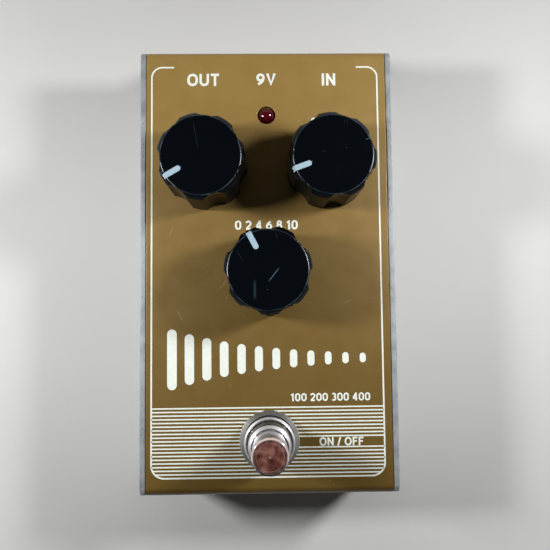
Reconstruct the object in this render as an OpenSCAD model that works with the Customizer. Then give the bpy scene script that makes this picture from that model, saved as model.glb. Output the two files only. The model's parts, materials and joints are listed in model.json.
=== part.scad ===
// Delay pedal for the floor: folded metal box, three fluted knobs, a lamp and a footswitch.
// Lengths are millimetres and angles are degrees. +Z is up and +Y is the side with the sockets.

/* [Enclosure] */
// Width over the two side walls
body_w = 72; // [68:1:90]
// Length from the front face to the rear face
body_l = 126; // [118:1:150]
// Height from the underside of the floor to the top face
body_h = 29.5; // [28.5:0.5:40]
// Sheet thickness of the cover
cover_t = 1.5; // [1:0.1:2]
// Sheet thickness of the chassis
chassis_t = 1.5; // [1:0.1:2]
// Outer radius of the bends
bend_r = 2.5; // [2.2:0.1:4]
// Length of the flanges folded in under the cover
flange_l = 10; // [9.5:0.5:12]
// Gap between the cover and each side wall
side_gap = 0.15; // [0.1:0.05:0.4]
// Extra radius of the cover's lower corners, clear of the chassis's inner bends
corner_relief = 0.5; // [0.4:0.1:1.5]

/* [Feet and screws] */
// Height of the rubber feet
foot_h = 2; // [1.8:0.1:4]
// Diameter of the rubber feet where they touch the ground
foot_d = 9; // [6:0.5:11]
// Draft of the feet, added to the radius at the glued side
foot_draft = 0.5; // [0.1:0.1:1]
// Distance of the feet from the side walls' outer faces
foot_side = 9; // [8:0.5:14]
// Distance of the feet from the front and rear faces
foot_end = 17; // [16:0.5:24]
// Diameter of the cover screws
screw_d = 2.9; // [2.4:0.1:3]
// Length of the cover screws under the head
screw_l = 5; // [4:0.5:6]
// Diameter of the screw heads
screw_head_d = 5.5; // [5:0.1:6]
// Height of the screw heads
screw_head_h = 1.5; // [1:0.1:1.7]
// Width of the cross recess in a screw head
recess_w = 0.8; // [0.5:0.1:1]
// Length of the cross recess in a screw head
recess_l = 3; // [2:0.1:4]
// Depth of the cross recess in a screw head
recess_t = 0.9; // [0.4:0.1:1]
// Distance of the screws from the side walls' outer faces
screw_side = 9; // [7:0.5:14]
// Distance of the screws from the front and rear faces
screw_end = 6.5; // [5:0.5:7]

/* [Knobs] */
// Diameter of a knob over its lobes
knob_d = 23.1; // [22.4:0.1:24]
// Height of a knob
knob_h = 15.2; // [14:0.1:20]
// Draft of a knob, added to the radius at its foot
knob_draft = 0.15; // [0.05:0.05:0.4]
// Gap between a knob and the top face
knob_gap = 0.8; // [0.4:0.1:1.5]
// Diameter of the flat face on a knob
face_d = 20.9; // [20:0.1:21]
// Number of flutes round a knob
flute_count = 7; // [5:1:9]
// Depth of the flutes
flute_depth = 1.05; // [0.6:0.05:1.2]
// Radius of the flutes
flute_r = 6; // [4:0.5:12]
// Diameter of the hollow under a knob
hollow_d = 15; // [13.5:0.5:17]
// Height of the hollow under a knob
hollow_h = 4.4; // [4:0.1:6]
// Thickness of a knob above its shaft
knob_roof = 2.2; // [1.5:0.1:3]
// Width of the pointer line
pointer_w = 1.45; // [1:0.05:2]
// Length of the pointer line in from the rim of the face
pointer_l = 4.4; // [3:0.1:7]
// Depth of the pointer line's inlay
pointer_t = 0.6; // [0.3:0.1:0.8]
// Distance between the axes of the two upper knobs
knob_spacing = 34.4; // [30:0.2:40]
// Distance of the upper knobs from the rear face
upper_row = 34.8; // [33:0.2:38]
// Distance of the middle knob from the rear face
middle_row = 64.6; // [60:0.2:68]
// Pointer of the left knob, clockwise from straight back
left_angle = -120.5; // [-150:0.5:150]
// Pointer of the right knob, clockwise from straight back
right_angle = -110; // [-150:0.5:150]
// Pointer of the middle knob, clockwise from straight back
middle_angle = -27.5; // [-150:0.5:150]

/* [Potentiometers] */
// Width of a potentiometer's body
pot_w = 9.8; // [9:0.1:12]
// Length of a potentiometer's body
pot_l = 11.2; // [9:0.1:13]
// Height of a potentiometer's body, from the board to the cover
pot_h = 6.8; // [6:0.1:8]
// Diameter of the threaded bushing
pot_bushing_d = 7; // [6.8:0.1:8]
// Length of the threaded bushing above the body
pot_bushing_l = 5; // [4.5:0.1:5.5]
// Diameter of the shaft
shaft_d = 6; // [5:0.1:6.2]
// Depth of the flat on the shaft
shaft_flat = 1.5; // [1:0.1:2]
// Depth of the shaft inside the potentiometer's body
shaft_in = 4.8; // [3:0.1:5.2]
// Width of the nut over its flats
pot_nut_af = 10; // [9.5:0.1:11]
// Height of the nut
pot_nut_h = 2; // [1.5:0.1:2.4]
// Diameter of the washer
pot_washer_d = 11; // [10:0.1:12]
// Thickness of the washer
pot_washer_t = 0.5; // [0.3:0.1:0.8]

/* [Footswitch] */
// Distance of the footswitch from the front face
switch_row = 15; // [14:0.2:20]
// Diameter of the plunger
button_d = 9.4; // [8:0.1:10]
// Height of the plunger's face above the top face
button_h = 18.8; // [16:0.1:22]
// Radius of the plunger's rounded edge
button_edge = 0.45; // [0.3:0.05:1.5]
// Travel of the plunger
button_travel = 3; // [2:0.5:4]
// Distance of the groove in the plunger's face from the plunger's side
groove_set = 0.45; // [0.3:0.05:1.5]
// Width of the groove in the plunger's face
groove_w = 0.3; // [0.1:0.05:0.5]
// Depth of the groove and of the centre mark in the plunger's face
groove_t = 0.12; // [0.05:0.01:0.3]
// Diameter of the centre mark in the plunger's face
mark_d = 0.6; // [0.3:0.1:1.2]
// Diameter of the plunger's stem
stem_d = 3.2; // [2:0.1:4]
// Diameter of the threaded collar
collar_d = 12; // [11.6:0.1:13]
// Height of the threaded collar above the top face
collar_h = 9; // [7:0.1:11]
// Width of the cone round the collar's mouth, seen from above, as far as its wall allows
collar_cone = 1.1; // [0.3:0.05:1.2]
// Slope of that cone
collar_slope = 36; // [30:1:65]
// Wall of the round nut on the top face, outside its thread
dress_nut_wall = 1.1; // [1:0.05:1.8]
// Height of the round nut on the top face
dress_nut_h = 3; // [2.2:0.1:3.6]
// Width of the cone round the top of that nut, seen from above
dress_nut_cone = 0.65; // [0.2:0.05:0.7]
// Slope of that cone
dress_nut_slope = 36; // [15:1:60]
// Width of the countersink at the bore of that nut
dress_nut_sink = 0.25; // [0.1:0.05:0.3]
// Width of the back nut over its flats
switch_nut_af = 14; // [14:0.1:16]
// Height of the back nut
switch_nut_h = 2.5; // [2:0.1:3.5]
// Diameter of the washer on the top face
switch_washer_d = 16.6; // [16:0.1:19]
// Thickness of the washer on the top face
switch_washer_t = 0.8; // [0.5:0.1:1.2]
// Thickness of the lock washer under the top face
lock_washer_t = 0.6; // [0.4:0.1:1]
// Side of the footswitch's square body
switch_w = 17.5; // [16:0.5:19]
// Height of the footswitch's body
switch_h = 13; // [12:0.5:13.5]
// Distance between the footswitch's body and its back nut
switch_drop = 0.5; // [0.2:0.1:1]
// Wire diameter of the return spring
wire_d = 0.8; // [0.6:0.05:0.9]
// Outer diameter of the return spring
spring_d = 8.4; // [7:0.1:8.6]
// Free height of the return spring
spring_h = 8; // [7.5:0.1:9]
// Number of turns of the return spring
spring_turns = 4; // [3:1:4]
// Width of a solder lug
lug_w = 2; // [1.5:0.1:2.5]
// Thickness of a solder lug
lug_t = 0.8; // [0.5:0.1:1]
// Length of a solder lug
lug_l = 5; // [4:0.1:5.2]
// Distance between solder lugs
lug_pitch = 4.8; // [4:0.1:5.5]

/* [Lamp] */
// Diameter of the lamp
led_d = 4.9; // [4:0.1:5.2]
// Diameter of the lamp's flange
led_flange_d = 5.8; // [5.6:0.1:6.4]
// Thickness of the lamp's flange
led_flange_t = 1; // [0.6:0.1:1.4]
// Height of the lamp without its leads
led_h = 8.6; // [8:0.1:9]
// Height of the lamp's dome above the top face
led_out = 1.3; // [1:0.1:3.3]
// Width of the lamp's square leads
lead_w = 0.5; // [0.4:0.05:0.6]
// Distance between the lamp's leads
lead_pitch = 2.54; // [2:0.01:2.8]
// Length of the leads under the board
lead_end = 1.2; // [0.8:0.1:2]
// Distance of the lamp from the rear face
led_row = 19; // [17:0.2:20]

/* [Rear sockets] */
// Distance between the axes of the input and output sockets
jack_spacing = 36; // [32:0.5:40]
// Bore of the sockets, for a 6.35 mm plug
jack_bore = 6.4; // [6.36:0.02:6.5]
// Diameter of the sockets' threaded collar
jack_collar_d = 9; // [8.6:0.1:10]
// Length of the sockets' collar beyond the rear face
jack_out = 4.5; // [4:0.1:6]
// Width of a socket's body
jack_w = 15; // [13:0.5:17]
// Length of a socket's body
jack_l = 24; // [22:0.5:28]
// Height of a socket's body
jack_h = 13; // [12.5:0.1:13.5]
// Wall thickness of a socket's body
jack_wall = 2; // [1.5:0.1:2.5]
// Width of the sockets' nuts over their flats
jack_nut_af = 12; // [12:0.1:14]
// Height of the sockets' nuts
jack_nut_h = 2.2; // [1.8:0.1:2.6]
// Diameter of the sockets' washers
jack_washer_d = 14; // [13.5:0.1:15]
// Thickness of the sockets' washers
jack_washer_t = 0.6; // [0.4:0.1:1]
// Thickness of the sockets' contact blades
blade_t = 0.4; // [0.3:0.05:0.5]
// Width of the sockets' contact blades
blade_w = 3; // [2:0.1:4]
// Width of the power inlet's body
dc_w = 9; // [8.6:0.1:10]
// Length of the power inlet's body
dc_l = 14; // [13:0.5:16]
// Height of the power inlet's body
dc_h = 11; // [9:0.1:12]
// Diameter of the power inlet's round nose
dc_nose_d = 8; // [7.4:0.1:8.4]
// Bore of the power inlet
dc_bore = 5.8; // [5.6:0.1:6]
// Depth of the power inlet's bore
dc_depth = 10; // [9:0.1:11]
// Diameter of the power inlet's centre pin
dc_pin_d = 2.1; // [2:0.1:2.5]
// Diameter of the centre pin's riveted tail
dc_tail_d = 1.5; // [1:0.1:1.8]
// Distance of the centre pin's tip inside the mouth of the inlet
dc_pin_set = 0.6; // [0.2:0.1:1.5]

/* [Boards] */
// Width of the main board
board_w = 60; // [56:1:62]
// Thickness of the boards
board_t = 1.6; // [1:0.1:2]
// Gap between the main board and the rear wall
board_gap = 1; // [0.5:0.1:2]
// Gap between the main board and the footswitch's body
board_front_gap = 3.5; // [2:0.1:5]
// Width of the switch board
switch_board_w = 20; // [19.5:0.5:26]
// Height of the switch board above the tips of the lugs
lug_tip = 1; // [0.5:0.1:1.4]
// Width of the ribbon cable
ribbon_w = 12; // [8:0.5:16]
// Thickness of the ribbon cable
ribbon_t = 0.9; // [0.6:0.1:1.2]
// Length of the ribbon cable's flat ends
ribbon_end = 3; // [2:0.1:4]
// Width of a chip's body
chip_w = 6.4; // [6:0.1:7]
// Height of a chip's body
chip_h = 3.3; // [2.5:0.1:4]
// Distance between a chip's legs
chip_pitch = 2.54; // [2:0.01:2.6]
// Width of a chip's legs
chip_leg = 0.5; // [0.3:0.05:0.7]
// Gap between a chip and its board
chip_gap = 0.6; // [0.3:0.1:1]
// Diameter of the electrolytic capacitors
electrolytic_d = 5; // [4:0.1:6.3]
// Height of the electrolytic capacitors
electrolytic_h = 7; // [5:0.1:8]
// Distance between the electrolytic capacitors
electrolytic_pitch = 9; // [8:0.1:9.5]
// Width of the film capacitors
film_w = 2.5; // [2:0.1:3.5]
// Length of the film capacitors
film_l = 7.2; // [5:0.1:8]
// Height of the film capacitors
film_h = 6.5; // [5:0.1:8]
// Distance between the film capacitors
film_pitch = 6; // [5:0.1:6.4]

/* [Fits] */
// Radial clearance of shafts and of the plunger
run_fit = 0.05; // [0.02:0.01:0.09]
// Radial clearance of holes in the sheet metal
hole_fit = 0.2; // [0.1:0.05:0.4]
// Radial clearance between a thread and its nut
thread_fit = 0.02; // [0.01:0.01:0.05]
// Clearance of a piece pressed into a pocket
press_gap = 0.02; // [0.01:0.01:0.05]
// Clearance between moving ends and what stops them
end_gap = 0.3; // [0.2:0.05:0.5]

/* [Hidden] */
$fn = 64;
HEX = 6;
eps = 0.01;

SIDES = ["left", "right", "middle"];
DIAL_PIECES = ["knob", "pointer", "shaft", "pot", "pot_nut", "pot_washer"];
JACKS = ["output", "input"];
JACK_PIECES = ["jack", "jack_nut", "jack_washer", "jack_contacts"];
FEET = ["front_left", "front_right", "rear_left", "rear_right"];

// The box is set forward by half of the collars' length, so the origin is under the middle of everything.
rear_y = (body_l - jack_out) / 2;
front_y = rear_y - body_l;
mid_y = (rear_y + front_y) / 2;
wall_y = rear_y - cover_t;
floor_z = foot_h + chassis_t;
top_z = foot_h + body_h;
panel_z = top_z - cover_t;
cover_w = body_w - 2 * chassis_t - 2 * side_gap;
inner_bend = bend_r - cover_t;
floor_bend = max(bend_r - chassis_t, side_gap);
corner_r = floor_bend + corner_relief;

screw_x = body_w / 2 - screw_side;
screw_y = body_l / 2 - screw_end;
foot_x = body_w / 2 - foot_side;
foot_y = body_l / 2 - foot_end;

knob_z = top_z + knob_gap;
knob_top = knob_z + knob_h;
shaft_top = knob_top - knob_roof;
hollow_top = knob_z + hollow_h;
knob_r = knob_d / 2;
face_r = face_d / 2;
rim = knob_r - face_r;
flute_axis = knob_r - flute_depth + flute_r;
shaft_r = shaft_d / 2;
dial_at = [
    [-knob_spacing / 2, rear_y - upper_row],
    [knob_spacing / 2, rear_y - upper_row],
    [0, rear_y - middle_row]
];
dial_angle = [left_angle, right_angle, middle_angle];
pot_bushing_r = pot_bushing_d / 2;
pot_hole_r = pot_bushing_r + hole_fit;

board_top = panel_z - pot_h;
board_z = board_top - board_t;
board_rear = wall_y - board_gap;

switch_y = front_y + switch_row;
button_top = top_z + button_h;
button_r = button_d / 2;
collar_r = collar_d / 2;
collar_top = top_z + collar_h;
switch_top = panel_z - lock_washer_t - switch_nut_h - switch_drop;
switch_z = switch_top - switch_h;
button_z = switch_top + spring_h;
stem_z = switch_top - end_gap;
stem_hole_z = stem_z - button_travel - end_gap;
lug_z = switch_z - lug_l;
switch_board_z = lug_z + lug_tip;
switch_board_top = switch_board_z + board_t;
board_front = switch_y + switch_w / 2 + board_front_gap;
ribbon_y = board_front + ribbon_end + board_gap;

led_y = rear_y - led_row;
led_z = top_z + led_out - led_h;

jack_z = board_z - jack_h / 2;
dc_z = board_z - dc_h / 2;
jack_collar_r = jack_collar_d / 2;
jack_bore_r = jack_bore / 2;
nose_r = dc_nose_d / 2;
jack_front = wall_y - jack_l;
chip_row = (board_front + jack_front) / 2;

// A strip of the plan with two round ends, from the origin towards +Y
module slot(width, length) {
    translate([-width / 2, width / 2]) square([width, length - width / 2]);
    translate([0, width / 2]) circle(d = width);
}

// A rectangle with its lower left corner at the origin and four round corners
module round_rect(w, h, r) {
    translate([r, 0]) square([w - 2 * r, h]);
    translate([0, r]) square([w, h - 2 * r]);
    for (x = [r, w - r], y = [r, h - r]) translate([x, y]) circle(r);
}

// Stands a profile drawn in (Y, Z) up and extrudes it evenly to both sides of the YZ plane
module across(width) {
    rotate([90, 0, 90]) translate([0, 0, -width / 2]) linear_extrude(width) children();
}

// A pipe standing on the XY plane
module ring(outer_r, inner_r, h) {
    difference() {
        cylinder(r = outer_r, h = h);
        translate([0, 0, -eps]) cylinder(r = inner_r, h = h + 2 * eps);
    }
}

// A hexagon nut with flats to the front and rear, chamfered on its upper side
module hex_nut(af, h, bore_r) {
    corner_r = af / 2 / cos(180 / HEX);
    chamfer = (corner_r - af / 2) * tan(30);
    difference() {
        intersection() {
            cylinder(r = corner_r, h = h, $fn = HEX);
            union() {
                cylinder(r = corner_r + eps, h = h - chamfer);
                translate([0, 0, h - chamfer])
                    cylinder(r1 = corner_r, r2 = af / 2 - eps, h = chamfer);
            }
        }
        translate([0, 0, -eps]) cylinder(r = bore_r, h = h + 2 * eps);
    }
}

// The four places of the screws or feet, at the same distance from the middle of the box
module four_corners(x, y) {
    for (sx = [-1, 1], sy = [-1, 1]) translate([sx * x, mid_y + sy * y, 0]) children();
}

// The box's outline seen from the side, with its upper corners rounded like the cover's bends
module side_outline(from_z) {
    h = top_z - from_z;
    translate([front_y, from_z]) union() {
        square([body_l, h - bend_r]);
        translate([bend_r, 0]) square([body_l - 2 * bend_r, h]);
        for (y = [bend_r, body_l - bend_r]) translate([y, h - bend_r]) circle(bend_r);
    }
}

module cover_profile() {
    difference() {
        translate([front_y, floor_z]) round_rect(body_l, top_z - floor_z, bend_r);
        translate([front_y + cover_t, floor_z + cover_t])
            round_rect(body_l - 2 * cover_t, panel_z - floor_z - cover_t, inner_bend);
        translate([front_y + flange_l, floor_z - eps])
            square([body_l - 2 * flange_l, cover_t + 2 * eps]);
    }
}

// The cover's outline seen from the front, with lower corners that follow the chassis's inner bends
module front_outline() {
    translate([-cover_w / 2, floor_z]) union() {
        translate([0, corner_r]) square([cover_w, top_z - floor_z]);
        translate([corner_r, 0]) square([cover_w - 2 * corner_r, corner_r + eps]);
        for (x = [corner_r, cover_w - corner_r]) translate([x, corner_r]) circle(corner_r);
    }
}

module top_cover() {
    color("#937846") difference() {
        intersection() {
            across(body_w) cover_profile();
            translate([0, rear_y + eps, 0]) rotate([90, 0, 0])
                linear_extrude(body_l + 2 * eps) front_outline();
        }
        for (at = dial_at) translate([at[0], at[1], panel_z - eps])
            cylinder(r = pot_hole_r, h = cover_t + 2 * eps);
        translate([0, switch_y, panel_z - eps]) cylinder(r = collar_r + hole_fit, h = cover_t + 2 * eps);
        translate([0, led_y, panel_z - eps]) cylinder(r = (led_d + hole_fit) / 2, h = cover_t + 2 * eps);
        for (s = [-1, 1]) translate([s * jack_spacing / 2, rear_y + eps, jack_z]) rotate([90, 0, 0])
            cylinder(r = jack_collar_r + hole_fit, h = cover_t + 2 * eps);
        translate([0, rear_y + eps, dc_z]) rotate([90, 0, 0])
            cylinder(r = nose_r + hole_fit, h = cover_t + 2 * eps);
        translate([0, 0, floor_z - eps]) four_corners(screw_x, screw_y)
            cylinder(r = screw_d / 2 + thread_fit, h = cover_t + 2 * eps);
    }
}

module base_chassis() {
    inner_w = body_w - 2 * chassis_t;
    color("silver") difference() {
        intersection() {
            translate([-body_w / 2, rear_y, foot_h])
            rotate([90, 0, 0]) linear_extrude(body_l) difference() {
                round_rect(body_w, 2 * body_h, bend_r);
                translate([chassis_t, chassis_t]) round_rect(inner_w, 2 * body_h, floor_bend);
            }
            across(body_w + 2 * eps) side_outline(foot_h - eps);
        }
        translate([0, 0, foot_h - eps]) four_corners(screw_x, screw_y)
            cylinder(r = screw_d / 2 + hole_fit, h = chassis_t + 2 * eps);
    }
}

module cover_screws() {
    color("dimgray") translate([0, 0, foot_h]) four_corners(screw_x, screw_y) difference() {
        union() {
            cylinder(d = screw_d, h = screw_l);
            rotate([180, 0, 0])
                cylinder(d1 = screw_head_d, d2 = screw_head_d - screw_head_h, h = screw_head_h);
        }
        for (turn = [0, 90]) rotate(turn)
            translate([-recess_l / 2, -recess_w / 2, -screw_head_h - eps])
                cube([recess_l, recess_w, recess_t + eps]);
    }
}

module foot(place) {
    sx = place % 2 == 0 ? -1 : 1;
    sy = place < 2 ? -1 : 1;
    color("#222222") translate([sx * foot_x, mid_y + sy * foot_y, 0])
        cylinder(d1 = foot_d, d2 = foot_d + 2 * foot_draft, h = foot_h);
}

// Puts a piece of a dial on its axis, turned to its pointer's angle
module on_dial(dial) {
    translate([dial_at[dial][0], dial_at[dial][1], 0]) rotate(-dial_angle[dial]) children();
}

// A knob before it is fluted and hollowed
module knob_blank() {
    rotate_extrude() polygon([
        [0, knob_z], [knob_r + knob_draft, knob_z], [knob_r, knob_top - rim],
        [face_r, knob_top], [0, knob_top]
    ]);
}

// The bar of the pointer line, from inside the face to past the rim
module pointer_bar(gap) {
    translate([0, face_r - pointer_l - gap, knob_top - pointer_t - gap])
        linear_extrude(pointer_t + 2 * gap) slot(pointer_w + 2 * gap, pointer_l + rim + gap);
}

// The shaft's round outline with its flat, grown by a clearance
module shaft_outline(gap) {
    difference() {
        circle(shaft_r + gap);
        translate([-shaft_d, shaft_r - shaft_flat + gap]) square(2 * shaft_d);
    }
}

module knob(dial) {
    color("#101012") on_dial(dial) difference() {
        knob_blank();
        for (i = [0:flute_count - 1]) rotate((i + 0.5) * 360 / flute_count)
            translate([0, flute_axis, knob_z - eps]) cylinder(r = flute_r, h = knob_h + 2 * eps);
        translate([0, 0, knob_z - eps]) cylinder(d = hollow_d, h = hollow_h + eps);
        translate([0, 0, hollow_top - eps])
            linear_extrude(shaft_top - hollow_top + press_gap + eps) shaft_outline(press_gap);
        pointer_bar(press_gap);
    }
}

module pointer(dial) {
    color("white") on_dial(dial) intersection() {
        knob_blank();
        pointer_bar(0);
    }
}

module shaft(dial) {
    flat_z = hollow_top - pot_washer_t;
    color("lightgray") on_dial(dial) union() {
        translate([0, 0, panel_z - shaft_in]) cylinder(r = shaft_r, h = flat_z - panel_z + shaft_in);
        translate([0, 0, flat_z]) linear_extrude(shaft_top - flat_z) shaft_outline(0);
    }
}

module pot(dial) {
    color("#3a5a44") translate([dial_at[dial][0], dial_at[dial][1], board_top]) difference() {
        union() {
            translate([-pot_w / 2, -pot_l / 2, 0]) cube([pot_w, pot_l, pot_h]);
            cylinder(r = pot_bushing_r, h = pot_h + pot_bushing_l);
        }
        translate([0, 0, pot_h - shaft_in - end_gap])
            cylinder(r = shaft_r + run_fit, h = shaft_in + pot_bushing_l + end_gap + eps);
    }
}

module pot_washer(dial) {
    color("silver") translate([dial_at[dial][0], dial_at[dial][1], top_z])
        ring(pot_washer_d / 2, pot_hole_r, pot_washer_t);
}

module pot_nut(dial) {
    color("silver") translate([dial_at[dial][0], dial_at[dial][1], top_z + pot_washer_t])
        hex_nut(pot_nut_af, pot_nut_h, pot_bushing_r + thread_fit);
}

// A round post standing on the XY plane, its upper edge cut to a cone
module coned_post(r, h, cone, slope) {
    cone_h = cone * tan(slope);
    cylinder(r = r, h = h - cone_h);
    translate([0, 0, h - cone_h]) cylinder(r1 = r, r2 = r - cone, h = cone_h);
}

// Half section of the plunger, from its axis outwards
module button_section() {
    h = button_top - button_z;
    difference() {
        union() {
            translate([0, button_z]) square([button_r, h - button_edge]);
            translate([0, button_z]) square([button_r - button_edge, h]);
            translate([button_r - button_edge, button_top - button_edge]) circle(button_edge);
            translate([0, stem_z]) square([stem_d / 2, button_z - stem_z + eps]);
        }
        translate([button_r - groove_set - groove_w, button_top - groove_t])
            square([groove_w, 2 * groove_t]);
        translate([-eps, button_top - groove_t]) square([mark_d / 2 + eps, 2 * groove_t]);
    }
}

module switch_button() {
    color("#b08d80") translate([0, switch_y, 0]) rotate_extrude() button_section();
}

module switch_bushing() {
    bore_r = button_r + run_fit;
    h = collar_top - switch_top;
    cone = min(collar_cone, 0.9 * (collar_r - bore_r));
    color("gainsboro") translate([0, switch_y, switch_top]) difference() {
        coned_post(collar_r, h, cone, collar_slope);
        translate([0, 0, -eps]) cylinder(r = bore_r, h = h + 2 * eps);
    }
}

module switch_body() {
    color("royalblue") translate([0, switch_y, 0]) difference() {
        translate([-switch_w / 2, -switch_w / 2, switch_z]) cube([switch_w, switch_w, switch_h]);
        translate([0, 0, stem_hole_z])
            cylinder(d = stem_d + 2 * end_gap, h = switch_top - stem_hole_z + eps);
    }
}

// The lugs in plan, grown by a clearance
module lug_plan(gap) {
    for (x = [-1:1], y = [-1:1])
        translate([x * lug_pitch, switch_y + y * lug_pitch])
            square([lug_w + 2 * gap, lug_t + 2 * gap], center = true);
}

module switch_lugs() {
    color("gold") translate([0, 0, lug_z]) linear_extrude(lug_l) lug_plan(0);
}

// The return spring is one tube swept along a helix
SPRING_SIDES = 6;
SPRING_STEPS = 12;
spring_rings = spring_turns * SPRING_STEPS;
spring_rise = spring_h - wire_d - 2 * press_gap;
helix_r = (spring_d - wire_d) / 2;

function helix_point(i) = [
    helix_r * cos(360 * i / SPRING_STEPS),
    helix_r * sin(360 * i / SPRING_STEPS),
    switch_top + press_gap + wire_d / 2 + spring_rise * i / spring_rings
];

function wire_point(i, j) =
    let (around = 360 * i / SPRING_STEPS)
    let (turn = 360 * j / SPRING_SIDES)
    helix_point(i) + wire_d / 2 * [cos(turn) * cos(around), cos(turn) * sin(around), sin(turn)];

spring_gap = min([
    for (i = [0:spring_rings - SPRING_STEPS]) norm(helix_point(i + SPRING_STEPS) - helix_point(i))
]) - wire_d;
echo(least_gap_between_spring_turns = spring_gap);

module switch_spring() {
    points = [for (i = [0:spring_rings], j = [0:SPRING_SIDES - 1]) wire_point(i, j)];
    walls = [
        for (i = [0:spring_rings - 1], j = [0:SPRING_SIDES - 1], half = [0, 1])
            let (k = (j + 1) % SPRING_SIDES)
            let (a = i * SPRING_SIDES, b = a + SPRING_SIDES)
            half == 0 ? [a + j, b + j, a + k] : [a + k, b + j, b + k]
    ];
    last = spring_rings * SPRING_SIDES;
    ends = [
        for (j = [1:SPRING_SIDES - 2], half = [0, 1])
            half == 0 ? [0, j, j + 1] : [last, last + j + 1, last + j]
    ];
    color("gray") translate([0, switch_y, 0]) polyhedron(points, concat(walls, ends));
}

module switch_washer() {
    color("gainsboro") translate([0, switch_y, top_z])
        ring(switch_washer_d / 2, collar_r + hole_fit / 2, switch_washer_t);
}

// The round nut on the top face, with a cone round its top and a countersunk bore
module switch_nut() {
    bore_r = collar_r + thread_fit;
    nut_r = bore_r + dress_nut_wall;
    sink = dress_nut_sink + eps;
    color("gainsboro") translate([0, switch_y, top_z + switch_washer_t]) difference() {
        coned_post(nut_r, dress_nut_h, dress_nut_cone, dress_nut_slope);
        translate([0, 0, -eps]) cylinder(r = bore_r, h = dress_nut_h + 2 * eps);
        translate([0, 0, dress_nut_h - dress_nut_sink]) cylinder(r1 = bore_r, r2 = bore_r + sink, h = sink);
    }
}

module switch_lock_washer() {
    color("silver") translate([0, switch_y, panel_z - lock_washer_t])
        ring(switch_washer_d / 2, collar_r + hole_fit / 2, lock_washer_t);
}

module switch_back_nut() {
    color("silver") translate([0, switch_y, panel_z - lock_washer_t - switch_nut_h])
        hex_nut(switch_nut_af, switch_nut_h, collar_r + thread_fit);
}

// The lamp's two leads in plan, grown by a clearance
module lead_plan(gap) {
    for (s = [-1, 1])
        translate([s * lead_pitch / 2, led_y]) square(lead_w + 2 * gap, center = true);
}

module led() {
    dome_r = led_d / 2;
    color("#7a0c10") union() {
        translate([0, led_y, led_z]) cylinder(d = led_flange_d, h = led_flange_t);
        translate([0, led_y, led_z]) cylinder(r = dome_r, h = led_h - dome_r);
        translate([0, led_y, led_z + led_h - dome_r]) sphere(dome_r);
        translate([0, 0, board_z - lead_end])
            linear_extrude(led_z - board_z + lead_end + eps) lead_plan(0);
    }
}

module led_spacer() {
    color("#1a1a1a") translate([0, 0, board_top]) difference() {
        translate([0, led_y, 0]) cylinder(d = led_flange_d, h = led_z - board_top);
        translate([0, 0, -eps]) linear_extrude(led_z - board_top + 2 * eps) lead_plan(hole_fit);
    }
}

// Puts a piece drawn along +Z on a socket's axis, with +Z out of the rear face
module on_rear(x, z) {
    translate([x, rear_y, z]) rotate([-90, 0, 0]) children();
}

function jack_x(socket) = (socket - 0.5) * jack_spacing;

module jack(socket) {
    chamber_w = jack_w - 2 * jack_wall;
    chamber_l = jack_l - 2 * jack_wall;
    chamber_h = jack_h - 2 * jack_wall;
    color("#1c1c1e") on_rear(jack_x(socket), jack_z) difference() {
        union() {
            translate([-jack_w / 2, -jack_h / 2, -cover_t - jack_l]) cube([jack_w, jack_h, jack_l]);
            translate([0, 0, -cover_t - eps]) cylinder(r = jack_collar_r, h = cover_t + jack_out + eps);
        }
        translate([-chamber_w / 2, -chamber_h / 2, -cover_t - jack_l + jack_wall])
            cube([chamber_w, chamber_h, chamber_l]);
        translate([0, 0, -cover_t - jack_wall - eps])
            cylinder(r = jack_bore_r, h = jack_wall + cover_t + jack_out + 2 * eps);
    }
}

module jack_nut(socket) {
    color("silver") on_rear(jack_x(socket), jack_z) translate([0, 0, jack_washer_t])
        hex_nut(jack_nut_af, jack_nut_h, jack_collar_r + thread_fit);
}

module jack_washer(socket) {
    color("silver") on_rear(jack_x(socket), jack_z)
        ring(jack_washer_d / 2, jack_collar_r + hole_fit, jack_washer_t);
}

// Two blades in a socket's chamber, one on each side of the plug
module jack_contacts(socket) {
    chamber_w = jack_w - 2 * jack_wall;
    chamber_l = jack_l - 2 * jack_wall;
    color("goldenrod") on_rear(jack_x(socket), jack_z) for (s = [-1, 1])
        translate([s * (chamber_w - blade_t) / 2, 0, -cover_t - jack_wall - chamber_l / 2])
            cube([blade_t, blade_w, chamber_l], center = true);
}

module dc_jack() {
    color("#1c1c1e") on_rear(0, dc_z) difference() {
        union() {
            translate([-dc_w / 2, -dc_h / 2, -cover_t - dc_l]) cube([dc_w, dc_h, dc_l]);
            translate([0, 0, -cover_t - eps]) cylinder(r = nose_r, h = cover_t + eps);
        }
        translate([0, 0, -dc_depth]) cylinder(d = dc_bore, h = dc_depth + eps);
        translate([0, 0, -cover_t - dc_l - eps])
            cylinder(r = dc_tail_d / 2 + press_gap, h = cover_t + dc_l);
    }
}

module dc_pin() {
    color("gold") on_rear(0, dc_z) union() {
        translate([0, 0, -dc_depth]) cylinder(d = dc_pin_d, h = dc_depth - dc_pin_set);
        translate([0, 0, -cover_t - dc_l]) cylinder(d = dc_tail_d, h = cover_t + dc_l - dc_depth + eps);
    }
}

module main_board() {
    color("darkgreen") difference() {
        translate([-board_w / 2, board_front, board_z]) cube([board_w, board_rear - board_front, board_t]);
        translate([0, 0, board_z - eps]) linear_extrude(board_t + 2 * eps) lead_plan(hole_fit);
    }
}

module switch_board() {
    front = switch_y - switch_board_w / 2;
    color("darkgreen") difference() {
        translate([-switch_board_w / 2, front, switch_board_z])
            cube([switch_board_w, ribbon_y - front, board_t]);
        translate([0, 0, switch_board_z - eps]) linear_extrude(board_t + 2 * eps) lug_plan(hole_fit);
    }
}

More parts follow.
